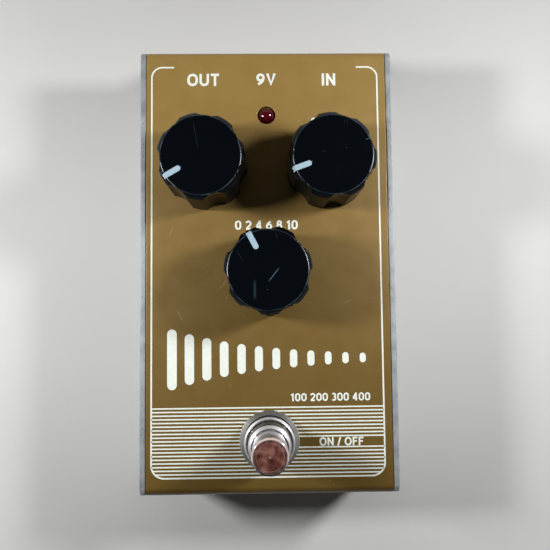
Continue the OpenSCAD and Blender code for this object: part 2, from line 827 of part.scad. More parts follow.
// A flat cable that leaves both boards level and turns back between them
module ribbon_cable() {
    drop = board_z - switch_board_top;
    color("lightslategray") translate([0, ribbon_y, switch_board_top]) across(ribbon_w) union() {
        intersection() {
            translate([0, drop / 2]) difference() {
                circle(drop / 2);
                circle(drop / 2 - ribbon_t);
            }
            square(drop);
        }
        for (z = [0, drop - ribbon_t]) translate([-ribbon_end, z]) square([ribbon_end + eps, ribbon_t]);
    }
}

// A chip with two rows of legs, hanging under the main board
module chip(legs) {
    rows = legs / 2;
    length = (rows + 0.5) * chip_pitch;
    leg_h = chip_gap + chip_h / 2;
    translate([-length / 2, -chip_w / 2, -chip_gap - chip_h]) cube([length, chip_w, chip_h]);
    for (i = [0:rows - 1], s = [-1, 1])
        translate([(i - (rows - 1) / 2) * chip_pitch, s * (chip_w + chip_leg) / 2, -leg_h / 2])
            cube([chip_leg, chip_leg, leg_h], center = true);
}

module delay_chip() {
    color("#202020") translate([0, chip_row + 2 * chip_w, board_z]) chip(16);
}

module clock_chip() {
    color("#202020") translate([0, chip_row - 2 * chip_w, board_z]) chip(8);
}

module amp_chips() {
    color("#202020") for (s = [-1, 1])
        translate([s * board_w / 4, chip_row, board_z]) chip(8);
}

// Spreads copies along the board's length beside one of its edges
module along_edge(side, count, pitch) {
    for (i = [0:count - 1])
        translate([side * (board_w / 2 - electrolytic_d), chip_row + (i - (count - 1) / 2) * pitch, board_z])
            children();
}

module electrolytic_caps() {
    color("#26324a") along_edge(-1, 5, electrolytic_pitch)
        translate([0, 0, -electrolytic_h]) cylinder(d = electrolytic_d, h = electrolytic_h);
}

module film_caps() {
    color("#8c2f22") along_edge(1, 7, film_pitch)
        translate([-film_l / 2, -film_w / 2, -film_h]) cube([film_l, film_w, film_h]);
}

top_cover();
base_chassis();
cover_screws();
for (i = [0:len(FEET) - 1]) {
    foot(i);
}
for (i = [0:len(SIDES) - 1]) {
    knob(i);
    pointer(i);
    shaft(i);
    pot(i);
    pot_nut(i);
    pot_washer(i);
}
switch_button();
switch_bushing();
switch_body();
switch_lugs();
switch_spring();
switch_nut();
switch_washer();
switch_back_nut();
switch_lock_washer();
led();
led_spacer();
for (i = [0:len(JACKS) - 1]) {
    jack(i);
    jack_nut(i);
    jack_washer(i);
    jack_contacts(i);
}
dc_jack();
dc_pin();
main_board();
switch_board();
ribbon_cable();
delay_chip();
clock_chip();
amp_chips();
electrolytic_caps();
film_caps();
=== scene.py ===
"""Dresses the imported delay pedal: paint, print, plating, plastic, threads, light and camera.

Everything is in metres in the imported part's frame. Sizes are written in millimetres times MM.
"""

import json
import math

import bmesh
import bpy
from mathutils import Matrix, Vector


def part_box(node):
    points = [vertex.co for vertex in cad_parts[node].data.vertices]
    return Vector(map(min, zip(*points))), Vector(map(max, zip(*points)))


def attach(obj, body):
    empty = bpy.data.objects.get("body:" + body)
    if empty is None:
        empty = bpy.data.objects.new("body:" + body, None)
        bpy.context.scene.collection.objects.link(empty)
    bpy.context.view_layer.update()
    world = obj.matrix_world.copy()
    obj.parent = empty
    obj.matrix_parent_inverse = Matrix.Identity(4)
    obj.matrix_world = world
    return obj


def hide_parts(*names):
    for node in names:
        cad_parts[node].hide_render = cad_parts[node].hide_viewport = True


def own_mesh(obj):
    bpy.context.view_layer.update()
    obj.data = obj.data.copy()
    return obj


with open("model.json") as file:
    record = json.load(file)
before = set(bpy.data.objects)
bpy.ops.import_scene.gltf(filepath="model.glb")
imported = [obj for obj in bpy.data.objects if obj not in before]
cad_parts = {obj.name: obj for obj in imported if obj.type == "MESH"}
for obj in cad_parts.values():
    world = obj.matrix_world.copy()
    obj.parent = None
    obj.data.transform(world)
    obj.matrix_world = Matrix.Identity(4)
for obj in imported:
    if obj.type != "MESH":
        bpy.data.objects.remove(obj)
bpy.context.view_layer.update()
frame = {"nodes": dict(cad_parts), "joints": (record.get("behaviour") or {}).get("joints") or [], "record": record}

MM = 0.001
UP = Vector((0, 0, 1))


def millimetres(place):
    """A place in the frame in millimetres, to the micron."""
    return [round(c / MM, 3) for c in place]


def corners(node):
    """A CAD node's lowest and highest corners, in millimetres."""
    return [millimetres(corner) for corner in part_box(node)]


def middle(node):
    """The middle of a CAD node's box, in millimetres."""
    return [round((low + high) / 2, 3) for low, high in zip(*corners(node))]


# Places in the frame, in millimetres
HALF_W, REAR_Y, TOP_Z = corners("top_cover")[1]
FRONT_Y = corners("top_cover")[0][1]
MID_Y = (FRONT_Y + REAR_Y) / 2
KNOB_TOP_Z = corners("middle_knob")[1][2]
LAMP_FLANGE_Z = corners("led_spacer")[1][2]
PLUNGER_TOP_Z = corners("switch_button")[1][2]
SWITCH = Vector((*middle("switch_nut")[:2], 0))

# The dials' axes, in millimetres, from the joints
JOINTS = {joint["name"]: joint for joint in frame["joints"]}
DIALS = {side: millimetres(JOINTS[f"{side}_turn"]["pos_m"][:2]) for side in ("left", "right", "middle")}


def srgb(red, green, blue):
    """A display colour, 0 to 255, as the linear colour that a shader takes."""

    def linear(value):
        value /= 255
        return value / 12.92 if value <= 0.04045 else ((value + 0.055) / 1.055) ** 2.4

    return (linear(red), linear(green), linear(blue), 1.0)


class Finish:
    """One material: a Principled shader, and the nodes that vary it over the surface."""

    def __init__(self, name, **fixed):
        self.material = bpy.data.materials.new(name)
        self.material.use_nodes = True
        self.tree = self.material.node_tree
        self.shader = self.tree.nodes["Principled BSDF"]
        for socket, value in fixed.items():
            self.shader.inputs[socket.replace("_", " ")].default_value = value
        self.place = self.add("TexCoord").outputs["Object"]

    def add(self, kind, inputs=None, **settings):
        """A new node. Inputs are values, or the sockets that they are linked to."""
        node = self.tree.nodes.new("ShaderNode" + kind)
        for key, value in settings.items():
            setattr(node, key, value)
        for key, value in (inputs or {}).items():
            self.put(node.inputs[key], value)
        return node

    def put(self, socket, value):
        """Links a socket to another one, or sets its value."""
        if isinstance(value, bpy.types.NodeSocket):
            self.tree.links.new(value, socket)
        else:
            socket.default_value = value

    def set(self, **values):
        """Links sockets of the shader, with _ for a space in their names."""
        for socket, value in values.items():
            self.put(self.shader.inputs[socket.replace("_", " ")], value)

    def noise(self, size, detail=2.0, stretch=None, turn=0.0):
        """Noise in blobs of about size millimetres, stretch times as long along X; turn varies it."""
        place = self.place
        if stretch:
            place = self.add("Mapping", {
                "Vector": place,
                "Rotation": (0, 0, turn),
                "Scale": (1 / stretch, 1, 1),
            }).outputs["Vector"]
        return self.add("TexNoise", {
            "Vector": place, "Scale": 1 / (size * MM), "Detail": detail,
        }).outputs["Fac"]

    def cells(self, size, output="Distance"):
        """Cells about size millimetres across: the distance to a cell's point, or its random colour."""
        return self.add("TexVoronoi", {
            "Vector": self.place, "Scale": 1 / (size * MM),
        }).outputs[output]

    def axis(self, letter):
        """One coordinate of the place, in metres."""
        return self.add("SeparateXYZ", {0: self.place}).outputs[letter]

    def radius(self, x, y):
        """The distance from an upright axis through x and y in millimetres."""
        here = self.add("VectorMath", {0: self.place, 1: (x * MM, y * MM, 0)}, operation="SUBTRACT")
        flat = self.add("VectorMath", {0: here.outputs["Vector"], 1: (1, 1, 0)}, operation="MULTIPLY")
        return self.add("VectorMath", {0: flat.outputs["Vector"]}, operation="LENGTH").outputs["Value"]

    def fit(self, value, low, high, out_low=0.0, out_high=1.0):
        """Maps a range to another one, clamped."""
        return self.add("MapRange", {
            "Value": value, "From Min": low, "From Max": high, "To Min": out_low, "To Max": out_high,
        }).outputs["Result"]

    def vary(self, noise, low, high):
        """Spreads a noise's usual range over low to high."""
        return self.fit(noise, 0.3, 0.7, low, high)

    def math(self, operation, first, second=0.0):
        """One operation on one or two values."""
        return self.add("Math", {0: first, 1: second}, operation=operation).outputs[0]

    def mix(self, share, first, second):
        """The first colour, with a share of the second."""
        node = self.add("Mix", data_type="RGBA")
        colours = [s for s in node.inputs if s.type == "RGBA"]
        self.put(node.inputs["Factor"], share)
        self.put(colours[0], first)
        self.put(colours[1], second)
        return next(s for s in node.outputs if s.type == "RGBA")

    def ramp(self, share, *stops):
        """A colour that goes through the stops, each a position and a colour."""
        node = self.add("ValToRGB", {"Fac": share})
        elements = node.color_ramp.elements
        while len(elements) < len(stops):
            elements.new(0.5)
        for element, (position, colour) in zip(elements, stops):
            element.position = position
            element.color = colour
        return node.outputs["Color"]

    def relief(self, height, depth):
        """Links a bump, depth millimetres high, to the shader."""
        self.set(Normal=self.add("Bump", {
            "Height": height, "Distance": depth * MM, "Strength": 1.0,
        }).outputs["Normal"])

    def specks(self, size, share, radius):
        """Round specks in a random share of the cells, radius as a share of a cell."""
        chance = self.add("SeparateColor", {0: self.cells(size, "Color")}).outputs[0]
        chosen = self.math("GREATER_THAN", chance, 1 - share)
        return self.math("MULTIPLY", chosen, self.fit(self.cells(size), radius * 0.6, radius, 1.0, 0.0))

    def marks(self, places):
        """Straight scratches: centre x and y, angle in degrees, length and width, in millimetres."""
        nearest = None
        for x, y, angle, length, width in places:
            here = self.add("Mapping", {
                "Vector": self.place,
                "Location": (x * MM, y * MM, 0),
                "Rotation": (0, 0, math.radians(angle)),
                "Scale": (length / 2 * MM, width / 2 * MM, 1),
            }, vector_type="TEXTURE").outputs["Vector"]
            across = self.add("SeparateXYZ", {
                0: self.add("VectorMath", {0: here}, operation="ABSOLUTE").outputs["Vector"],
            })
            off = self.math("MAXIMUM", across.outputs["X"], across.outputs["Y"])
            nearest = off if nearest is None else self.math("MINIMUM", nearest, off)
        return self.fit(nearest, 0.5, 1.0, 1.0, 0.0)


def mottled(name, colour, spread=0.12, size=2.0, rough=(0.35, 0.5), grain=0.3, depth=0.01, **fixed):
    """A finish whose colour, roughness and relief vary softly, for the plainer pieces."""
    finish = Finish(name, **fixed)
    dark = tuple(c * (1 - spread) for c in colour[:3]) + (1.0,)
    light = tuple(min(1.0, c * (1 + spread)) for c in colour[:3]) + (1.0,)
    cloud = finish.noise(size, 3)
    finish.set(
        Base_Color=finish.ramp(cloud, (0.3, dark), (0.7, light)),
        Roughness=finish.vary(finish.noise(size / 2, 2), *rough),
    )
    finish.relief(finish.noise(grain, 2), depth)
    return finish.material


def bronze_paint():
    """Satin bronze lacquer, painted lighter to the rear and darker to the front as painted light, with painted
    shade on the front fold, a fine flake, dust specks and a few scuffs.
    """
    finish = Finish("bronze_paint", Metallic=0.25, Coat_Weight=0.2, Coat_Roughness=0.25)
    flake = finish.noise(0.16, 1)
    cloud = finish.noise(30, 2)
    uneven = finish.math("ADD", finish.math("MULTIPLY", flake, 0.25), finish.math("MULTIPLY", cloud, 0.15))
    along = finish.axis("Y")
    # Painted light: the paint's colour is lighter to the rear and darker to the front.
    painted_rear_light = finish.fit(along, (FRONT_Y + 0.25) * MM, (REAR_Y - 0.75) * MM, 0.0, 0.8)
    # Painted shade: the front fold is painted darker where it turns away from the lamps.
    over_front = finish.fit(along, (FRONT_Y + 0.05) * MM, (FRONT_Y + 2.05) * MM, 1.0, 0.0)
    near_top = finish.fit(finish.axis("Z"), (TOP_Z - 2.5) * MM, (TOP_Z - 1.1) * MM)
    painted_fold_shade = finish.math("MULTIPLY", over_front, near_top)
    tone = finish.math("SUBTRACT", finish.math("ADD", uneven, painted_rear_light), finish.math("MULTIPLY", painted_fold_shade, 0.26))
    base = finish.ramp(
        tone,
        (0.0, srgb(68, 50, 10)), (0.2, srgb(116, 91, 38)),
        (0.6, srgb(138, 111, 59)), (1.0, srgb(170, 139, 78)),
    )
    worn = finish.marks([
        (-12.3, -6.4, 62, 2.4, 0.25), (-13.4, -7.6, 40, 1.6, 0.2), (-11.7, -10.6, 80, 0.5, 0.5),
        (-27.2, 8.4, 70, 3.2, 0.18), (22.4, -11.8, 25, 2.2, 0.16), (9.4, 40.2, 10, 0.6, 0.4),
        (12.1, 40.9, 30, 0.4, 0.4), (-18.6, 55.2, 0, 0.7, 0.3), (-24.9, -15.2, 115, 3.6, 0.16),
    ])
    scuff_colour = srgb(206, 192, 160)
    dust = finish.specks(3.4, 0.22, 0.07)
    pale = finish.math("MAXIMUM", finish.math("MULTIPLY", worn, 0.4), finish.math("MULTIPLY", dust, 0.3))
    finish.set(
        Base_Color=finish.mix(pale, base, scuff_colour),
        Roughness=finish.vary(finish.noise(6, 3), 0.36, 0.48),
    )
    finish.relief(finish.math("ADD", finish.noise(0.5, 2), finish.math("MULTIPLY", worn, -0.8)), 0.008)
    return finish.material


def bare_steel():
    """Dull plated sheet steel: rolled streaks along its length, and small dark pits."""
    finish = Finish("bare_steel", Metallic=0.4)
    pit_colour = srgb(80, 78, 80)
    streaks = finish.noise(0.25, 3, stretch=0.02)
    patches = finish.noise(3, 3)
    pits = finish.specks(0.9, 0.3, 0.26)
    base = finish.ramp(
        finish.math("ADD", finish.math("MULTIPLY", streaks, 0.5), finish.math("MULTIPLY", patches, 0.5)),
        (0.34, srgb(138, 144, 149)), (0.66, srgb(186, 191, 195)),
    )
    finish.set(
        Base_Color=finish.mix(finish.math("MULTIPLY", pits, 0.7), base, pit_colour),
        Roughness=finish.vary(patches, 0.45, 0.6),
    )
    finish.relief(finish.math("SUBTRACT", streaks, pits), 0.01)
    return finish.material


def knob_plastic():
    """Glossy black moulding: rims worn rougher and painted with a pale highlight line, scratches and hairlines on
    the faces, dust, and duller sides.
    """
    finish = Finish("knob_plastic")
    face_colour, side_colour, wear_and_highlight_colour = srgb(6, 9, 13), srgb(22, 22, 21), srgb(112, 152, 180)
    height = finish.axis("Z")
    off_axis = None
    for x, y in DIALS.values():
        radius = finish.radius(x, y)
        off_axis = radius if off_axis is None else finish.math("MINIMUM", off_axis, radius)
    # The rim mark makes the face's edge rougher and shinier, and paints a pale highlight line round it.
    rim_r = 10.4
    off_rim = finish.math("ABSOLUTE", finish.math("SUBTRACT", off_axis, rim_r * MM))
    rim_wear_and_highlight = finish.math(
        "MULTIPLY", finish.fit(off_rim, 0.08 * MM, 0.2 * MM, 1.0, 0.0),
        finish.fit(height, (KNOB_TOP_Z - 0.5) * MM, (KNOB_TOP_Z - 0.3) * MM),
    )
    rim_wear_and_highlight = finish.math("MULTIPLY", rim_wear_and_highlight, finish.fit(finish.noise(2.2, 3), 0.35, 0.6, 0.3, 1.0))

    def dial_marks(*places):
        """Straight marks whose centres are measured from a dial's axis."""
        return finish.marks([
            (DIALS[side][0] + x, DIALS[side][1] + y, angle, length, width)
            for side, x, y, angle, length, width in places
        ])

    scratches = dial_marks(("middle", 1.44, -1.28, 52, 4.7, 0.32), ("right", 9.0, 4.0, 15, 1.4, 0.2))
    scuffs = dial_marks(("middle", -3.46, -5.1, 90, 5.3, 0.8), ("right", -2.5, 0.8, 3, 1.5, 0.14))
    hairlines = dial_marks(
        ("left", -1.2, 5.2, 99, 8.0, 0.15),
        ("middle", -7.2, 3.6, 121, 3.4, 0.14), ("middle", 2.2, 8.8, 112, 1.7, 0.14),
        ("right", 3.0, 8.6, 75, 1.3, 0.12), ("right", 3.7, 8.6, 75, 1.3, 0.12),
    )
    hair = finish.fit(finish.noise(0.22, 2, stretch=40, turn=0.6), 0.66, 0.74)
    dust = finish.specks(2.6, 0.12, 0.06)
    # The pale colour marks real scratches, scuffs, hairlines and dust, and the painted rim highlight.
    marks_and_rim_highlight = finish.math("MULTIPLY", scratches, 0.34)
    for mark, share in ((scuffs, 0.08), (hairlines, 0.07), (dust, 0.2), (rim_wear_and_highlight, 0.1)):
        marks_and_rim_highlight = finish.math("MAXIMUM", marks_and_rim_highlight, finish.math("MULTIPLY", mark, share))
    top = finish.fit(height, (KNOB_TOP_Z - 1.5) * MM, (KNOB_TOP_Z - 0.9) * MM)
    finish.set(
        Base_Color=finish.mix(marks_and_rim_highlight, finish.mix(top, side_colour, face_colour), wear_and_highlight_colour),
        Specular_IOR_Level=finish.math(
            "ADD", finish.fit(top, 0.0, 1.0, 0.015, 0.25), finish.math("MULTIPLY", rim_wear_and_highlight, 0.6)
        ),
        Roughness=finish.math(
            "ADD", finish.vary(finish.noise(4, 3), 0.12, 0.2),
            finish.math("MULTIPLY", finish.math("ADD", finish.math("MULTIPLY", hair, 0.5), rim_wear_and_highlight), 0.25),
        ),
    )
    finish.relief(finish.math("ADD", hair, finish.math("MULTIPLY", scratches, 2.0)), -0.003)
    return finish.material


def nickel(name, tone, rough, slope=0.16, metal=1.0, side_shade=0.0):
    """Plating with haze, duller on slopes; painted shade darkens steep sides, but not at the switch's front."""
    finish = Finish(name, Metallic=metal)
    dark = tuple(c * 0.84 for c in tone[:3]) + (1.0,)
    facing = finish.add("SeparateXYZ", {0: finish.add("NewGeometry").outputs["Normal"]}).outputs["Z"]
    sloped = finish.fit(finish.math("ABSOLUTE", finish.math("SUBTRACT", facing, 0.8)), 0.06, 0.12, slope, 0.0)
    base = finish.ramp(finish.noise(1.6, 3), (0.3, dark), (0.65, tone))
    # Painted shade: steep sides behind the switch's front are painted near black and made dull.
    if side_shade:
        side_shade_colour = srgb(20, 19, 18)
        behind = finish.fit(finish.axis("Y"), (SWITCH.y - 5) * MM, (SWITCH.y - 1) * MM)
        side_shade_share = finish.math("MULTIPLY", finish.fit(facing, 0.68, 0.76, side_shade, 0.0), behind)
        base = finish.mix(side_shade_share, base, side_shade_colour)
        finish.set(
            Metallic=finish.fit(side_shade_share, 0.5, 0.95, metal, 0.0),
            Specular_IOR_Level=finish.fit(side_shade_share, 0.5, 0.95, 0.5, 0.0),
        )
    finish.set(
        Base_Color=base,
        Roughness=finish.math("ADD", finish.vary(finish.noise(0.8, 3), rough, rough + 0.05), sloped),
    )
    finish.relief(finish.noise(0.2, 2), 0.0008)
    return finish.material


def washer_plating():
    """Dull turned plating, whose highlights spread along its radii, with painted shade darkening it to the front
    and rear.
    """
    finish = Finish("turned_plating", Metallic=0.55, Anisotropic=0.75, Anisotropic_Rotation=0.25)
    base = finish.ramp(finish.noise(1.6, 3), (0.3, srgb(214, 214, 208)), (0.65, srgb(232, 232, 226)))
    washer_shade_colour = srgb(62, 60, 48)
    along = finish.axis("Y")
    # Painted shade: the washer is painted darker behind the nut and in front of it.
    washer_shade = finish.math(
        "MAXIMUM", finish.fit(along, (SWITCH.y + 2) * MM, (SWITCH.y + 7) * MM, 0.0, 0.7),
        finish.fit(along, (SWITCH.y - 4) * MM, SWITCH.y * MM, 0.6, 0.0),
    )
    finish.set(
        Base_Color=finish.mix(washer_shade, base, washer_shade_colour),
        Roughness=finish.vary(finish.noise(0.8, 3), 0.4, 0.45),
        Tangent=finish.add("Tangent", direction_type="RADIAL", axis="Z").outputs["Tangent"],
    )
    finish.relief(finish.noise(0.2, 2), 0.0008)
    return finish.material


def plunger_plating():
    """Nickel sides, a rim painted with a pale highlight and with painted shade at its front, and inside its groove
    a rose-copper face with turned rings, painted lighter to the rear, with a painted highlight ring and centre
    pip.
    """
    finish = Finish("plunger_plating")
    radius = finish.radius(SWITCH.x, SWITCH.y)
    height, along = finish.axis("Z"), finish.axis("Y")
    rim_highlight_colour, front_shade_colour, highlight_colour = srgb(246, 224, 218), srgb(84, 78, 76), srgb(246, 226, 216)
    face_r, rim_r = 4.0, 4.25
    ring_pitch, highlight_ring_r = 0.6, 3.45
    on_face = finish.math(
        "MULTIPLY", finish.fit(radius, (face_r - 0.05) * MM, (face_r + 0.05) * MM, 1.0, 0.0),
        finish.fit(height, (PLUNGER_TOP_Z - 0.4) * MM, (PLUNGER_TOP_Z - 0.2) * MM),
    )
    # Painted highlight: the rounded rim is painted pale and less metallic.
    on_rim = finish.math(
        "MULTIPLY", finish.fit(radius, (rim_r - 0.05) * MM, (rim_r + 0.05) * MM),
        finish.fit(height, (PLUNGER_TOP_Z - 0.8) * MM, (PLUNGER_TOP_Z - 0.5) * MM),
    )
    # Painted shade: the rim's front is painted dull and dark.
    front = finish.fit(along, (SWITCH.y - 4) * MM, (SWITCH.y - 0.5) * MM, 1.0, 0.0)
    rim_front_shade = finish.math("MULTIPLY", on_rim, front)
    on_rim = finish.math("SUBTRACT", on_rim, rim_front_shade)
    haze = finish.noise(2.4, 3)
    wavy = finish.math("ADD", radius, finish.math("MULTIPLY", finish.noise(1.3, 2), 0.5 * MM))
    rings = finish.math("SINE", finish.math("MULTIPLY", wavy, 2 * math.pi / (ring_pitch * MM)))
    # Painted highlights: a pale ring on the face and a pale pip at its centre.
    off_ring = finish.math("ABSOLUTE", finish.math("SUBTRACT", radius, highlight_ring_r * MM))
    ring_and_pip_highlight = finish.math(
        "MAXIMUM", finish.fit(off_ring, 0.05 * MM, 0.15 * MM, 0.25, 0.0),
        finish.fit(radius, 0.2 * MM, 0.35 * MM, 1.0, 0.0),
    )
    # Painted light: the copper is painted lighter to the rear.
    painted_rear_light = finish.fit(along, (SWITCH.y - 4) * MM, (SWITCH.y + 4) * MM, -0.05, 0.11)
    copper = finish.ramp(
        finish.math("ADD", haze, painted_rear_light),
        (0.34, srgb(96, 46, 38)), (0.5, srgb(154, 93, 81)), (0.66, srgb(206, 145, 132)),
    )
    steel = finish.ramp(haze, (0.3, srgb(186, 180, 182)), (0.65, srgb(236, 230, 230)))
    steel = finish.mix(rim_front_shade, finish.mix(on_rim, steel, rim_highlight_colour), front_shade_colour)
    metal = finish.fit(on_rim, 0.0, 1.0, 0.9, 0.4)
    finish.set(
        Metallic=finish.math("SUBTRACT", metal, finish.math("MULTIPLY", on_face, 0.24)),
        Base_Color=finish.mix(
            finish.math("MULTIPLY", ring_and_pip_highlight, on_face), finish.mix(on_face, steel, copper), highlight_colour
        ),
        Roughness=finish.math(
            "ADD", finish.vary(haze, 0.04, 0.09),
            finish.math("MULTIPLY", on_face, finish.fit(rings, -1, 1, 0.2, 0.28)),
        ),
    )
    finish.relief(finish.math("MULTIPLY", rings, on_face), 0.01)
    return finish.material


def red_lens():
    """Unlit lamp: very deep red clear resin, painted darker down into its hole as painted shade, with tinned leads
    below its flange.
    """
    finish = Finish("red_lens", IOR=1.5, Coat_Roughness=0.04)
    lead_colour = srgb(190, 190, 188)
    height = finish.axis("Z")
    lens = finish.fit(height, (LAMP_FLANGE_Z - 0.1) * MM, LAMP_FLANGE_Z * MM)
    # Painted shade: the resin's colour darkens down into the panel's hole and lightens at the dome's top.
    depth = finish.fit(height, (TOP_Z - 1.5) * MM, (TOP_Z + 1.5) * MM)
    swirl = finish.noise(1.2, 2)
    resin = finish.ramp(
        finish.math("ADD", depth, finish.math("MULTIPLY", swirl, 0.25)),
        (0.1, srgb(30, 0, 5)), (0.7, srgb(58, 3, 12)), (1.0, srgb(78, 8, 20)),
    )
    proud = finish.fit(height, (TOP_Z + 0.2) * MM, (TOP_Z + 0.7) * MM)
    finish.set(
        Specular_IOR_Level=finish.fit(proud, 0.0, 1.0, 0.05, 0.5),
        Coat_Weight=finish.math("MULTIPLY", proud, 0.6),
        Base_Color=finish.mix(lens, lead_colour, resin),
        Metallic=finish.fit(lens, 0.0, 1.0, 1.0, 0.0),
        Roughness=finish.vary(swirl, 0.05, 0.12),
    )
    finish.relief(finish.noise(0.6, 2), 0.0006)
    return finish.material


def cream_ink():
    """Screen-printed ink: off-white, a little uneven, with a faint grain."""
    return mottled(
        "cream_ink", srgb(240, 246, 236), spread=0.05, size=1.2, rough=(0.45, 0.6), grain=0.15, depth=0.003,
    )


def circuit_board():
    """Green solder mask over raised tracks, with tinned pads."""
    finish = Finish("circuit_board", Coat_Weight=0.3)
    track_spacing = 4.5
    track_colour, pad_colour = srgb(38, 108, 64), srgb(186, 188, 184)

    def spacing(feature):
        return finish.add("TexVoronoi", {
            "Vector": finish.place, "Scale": 1 / (track_spacing * MM),
        }, distance="CHEBYCHEV", feature=feature).outputs["Distance"]

    tracks = finish.fit(finish.math("SUBTRACT", spacing("F2"), spacing("F1")), 0.08, 0.11, 1.0, 0.0)
    pads = finish.specks(2.6, 0.45, 0.24)
    mask = finish.ramp(finish.noise(6, 2), (0.3, srgb(12, 58, 34)), (0.7, srgb(18, 70, 42)))
    finish.set(
        Base_Color=finish.mix(pads, finish.mix(tracks, mask, track_colour), pad_colour),
        Metallic=finish.math("MULTIPLY", pads, 0.8),
        Roughness=finish.vary(finish.noise(2), 0.3, 0.45),
    )
    finish.relief(finish.math("MAXIMUM", tracks, pads), 0.03)
    return finish.material


def grey_vinyl():
    """Flat cable: one soft ridge for each wire, painted lighter on the ridges and darker in the grooves as painted
    shade.
    """
    finish = Finish("grey_vinyl", Specular_IOR_Level=0.4)
    wire_pitch = 1.27
    wires = finish.math(
        "SINE", finish.math("MULTIPLY", finish.axis("X"), 2 * math.pi / (wire_pitch * MM))
    )
    # Painted shade: darker in the grooves between the wires, lighter on the ridges.
    painted_ridge_light = finish.fit(wires, -1, 1)
    finish.set(
        Base_Color=finish.ramp(painted_ridge_light, (0.0, srgb(96, 98, 102)), (1.0, srgb(150, 152, 156))),
        Roughness=finish.vary(finish.noise(1.5), 0.4, 0.55),
    )
    finish.relief(wires, 0.12)
    return finish.material


MATERIALS = {
    "bronze_paint": bronze_paint(),
    "bare_steel": bare_steel(),
    "black_steel": mottled("black_steel", srgb(44, 44, 46), rough=(0.35, 0.5), Metallic=0.8),
    "plated_brass": nickel("plated_brass", srgb(228, 228, 233), 0.13),
    "knob_plastic": knob_plastic(),
    "pointer_white": mottled("pointer_white", srgb(166, 191, 206), spread=0.04, size=0.8, rough=(0.4, 0.55)),
    "red_lens": red_lens(),
    "foot_rubber": mottled(
        "foot_rubber", srgb(34, 34, 35), size=1.5, rough=(0.7, 0.85), grain=0.2, depth=0.03,
    ),
    "blue_plastic": mottled("blue_plastic", srgb(36, 72, 142), rough=(0.4, 0.5)),
    "black_plastic": mottled("black_plastic", srgb(28, 28, 30), rough=(0.4, 0.55), grain=0.25, depth=0.02),
    "contact_brass": nickel("contact_brass", srgb(206, 172, 96), 0.2),
    "spring_steel": nickel("spring_steel", srgb(168, 170, 174), 0.22),
    "pot_case": mottled("pot_case", srgb(62, 92, 72), rough=(0.45, 0.6)),
    "circuit_board": circuit_board(),
    "grey_vinyl": grey_vinyl(),
    "chip_plastic": mottled("chip_plastic", srgb(32, 32, 33), rough=(0.5, 0.65), grain=0.2, depth=0.02),
    "cap_sleeve": mottled("cap_sleeve", srgb(38, 50, 76), rough=(0.25, 0.4)),
    "film_resin": mottled("film_resin", srgb(146, 52, 38), rough=(0.2, 0.35)),
}
INK = cream_ink()
PLUNGER = plunger_plating()
WASHER = washer_plating()
# The collar's and nut's steep rear sides carry painted shade.
COLLAR = nickel("collar_plating", srgb(208, 207, 209), 0.14, slope=0.42, metal=0.88, side_shade=0.5)
NUT = nickel("nut_plating", srgb(208, 207, 209), 0.14, slope=0.42, metal=0.88, side_shade=0.95)


def dress(obj, material):
    """Gives an object one material in place of its own."""
    obj.data.materials.clear()
    obj.data.materials.append(material)


def new_piece(name, mesh, material, body, replaces=()):
    """Adds a mesh to the scene as a piece that rides on a CAD body."""
    obj = bpy.data.objects.new(name, mesh)
    bpy.context.scene.collection.objects.link(obj)
    dress(obj, material)
    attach(obj, body)
    if replaces:
        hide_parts(*replaces)
    return obj


def soften(node, width, segments=2):
    """Rounds a CAD node's hard edges by modifiers, width in millimetres, so that they catch the light."""
    obj = frame["nodes"][node]
    weld = obj.modifiers.new("weld", "WELD")
    weld.merge_threshold = 0.0005 * MM
    planes = obj.modifiers.new("planes", "DECIMATE")
    planes.decimate_type = "DISSOLVE"
    planes.angle_limit = math.radians(0.3)
    edge = obj.modifiers.new("edge", "BEVEL")
    edge.width = width * MM
    edge.segments = segments
    edge.limit_method = "ANGLE"
    edge.angle_limit = math.radians(32)
    edge.use_clamp_overlap = False
    shade = obj.modifiers.new("shade", "WEIGHTED_NORMAL")
    shade.weight = 80


def grid_mesh(name, rings):
    """A closed tube of rings of points, the last ring joined to the first."""
    mesh = bpy.data.meshes.new(name)
    count = len(rings[0])
    points = [p for ring in rings for p in ring]
    faces = []
    for i in range(len(rings)):
        a, b = i * count, (i + 1) % len(rings) * count
        for j in range(count):
            k = (j + 1) % count
            faces.append((a + j, a + k, b + k, b + j))
    mesh.from_pydata(points, [], faces)
    mesh.validate()
    bm = bmesh.new()
    bm.from_mesh(mesh)
    bmesh.ops.recalc_face_normals(bm, faces=bm.faces)
    bm.to_mesh(mesh)
    bm.free()
    for face in mesh.polygons:
        face.use_smooth = True
    return mesh


def threaded_sleeve(name, outer, inner, low, high, thread_from, pitch, depth, cone, slope, steps=96):
    """An upright sleeve, threaded outside up into the cone round its mouth, in millimetres."""

    def crest(z, angle):
        turn = (z / pitch - angle / (2 * math.pi)) % 1
        return outer - depth * abs(2 * turn - 1)

    fall = 1 / math.tan(math.radians(slope))
    step = pitch / 8
    section = [(outer - depth / 2, low, False), (outer - depth / 2, thread_from, False)]
    for i in range(1, int((high - thread_from) / step)):
        z = thread_from + i * step
        section.append((min(outer, outer - cone + (high - z) * fall), z, True))
    section += [(outer - cone, high, False), (inner, high, False), (inner, low, False)]
    rings = []
    for radius, z, cut in section:
        ring = []
        for j in range(steps):
            angle = 2 * math.pi * j / steps
            r = min(radius, crest(z, angle)) if cut else radius
            ring.append((r * MM * math.cos(angle), r * MM * math.sin(angle), z * MM))
        rings.append(ring)
    return grid_mesh(name, rings)


